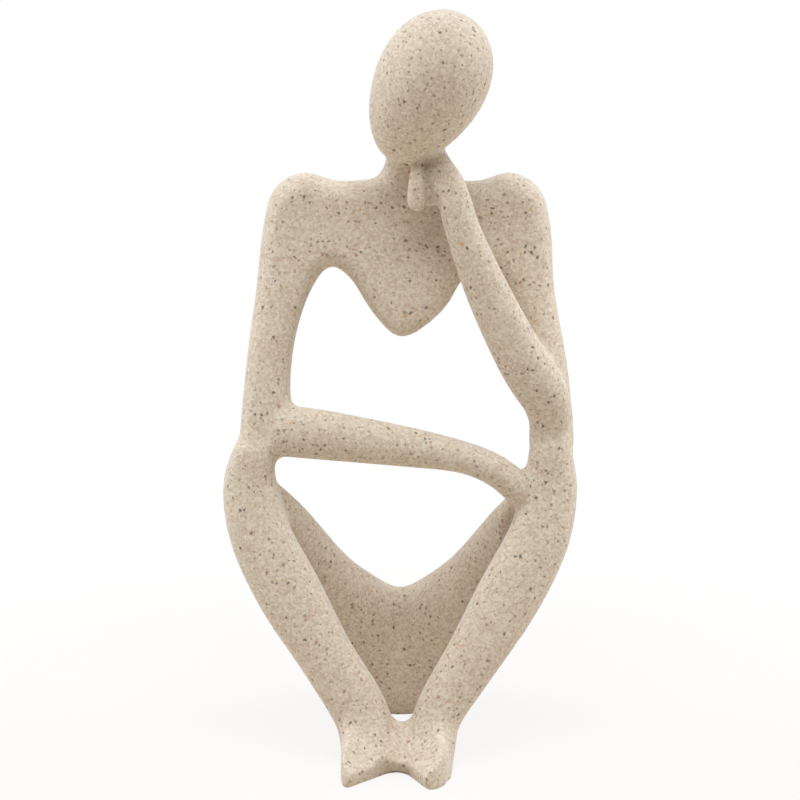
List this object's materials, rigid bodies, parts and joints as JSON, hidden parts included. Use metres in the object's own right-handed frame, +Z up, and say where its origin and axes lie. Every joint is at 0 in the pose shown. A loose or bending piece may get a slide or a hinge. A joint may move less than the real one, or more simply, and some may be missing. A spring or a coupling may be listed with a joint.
{
  "type": "resting figurine",
  "caption": "Abstract faceless seated figure of speckled sand-filled resin, knees drawn up, chin on a raised hand and the other forearm across to the knee; stands on seat and feet.",
  "frame": {"origin": "on the table, under the middle of the figure's bounding box", "axes": "+Z up; the figure faces -Y, its own left side lies at +X and its seat at +Y"},
  "size_m": [0.062, 0.0576, 0.1302],
  "materials": {
    "sand_resin": "matte, cast resin filled with coloured sand",
    "dowel_steel": "drawn wire, hidden in the joints"
  },
  "bodies": {
    "root": {"head": "sand_resin", "torso": "sand_resin", "raised_forearm": "sand_resin", "resting_forearm": "sand_resin", "seat_and_thighs": "sand_resin", "right_lower_leg": "sand_resin", "left_lower_leg": "sand_resin", "neck_dowel": "dowel_steel", "right_elbow_dowel": "dowel_steel", "left_elbow_dowel": "dowel_steel", "right_knee_dowel": "dowel_steel", "left_knee_dowel": "dowel_steel", "resting_elbow_dowel": "dowel_steel", "resting_hand_dowel": "dowel_steel", "raised_elbow_dowel": "dowel_steel", "foot_dowel": "dowel_steel"}
  },
  "joints": []
}
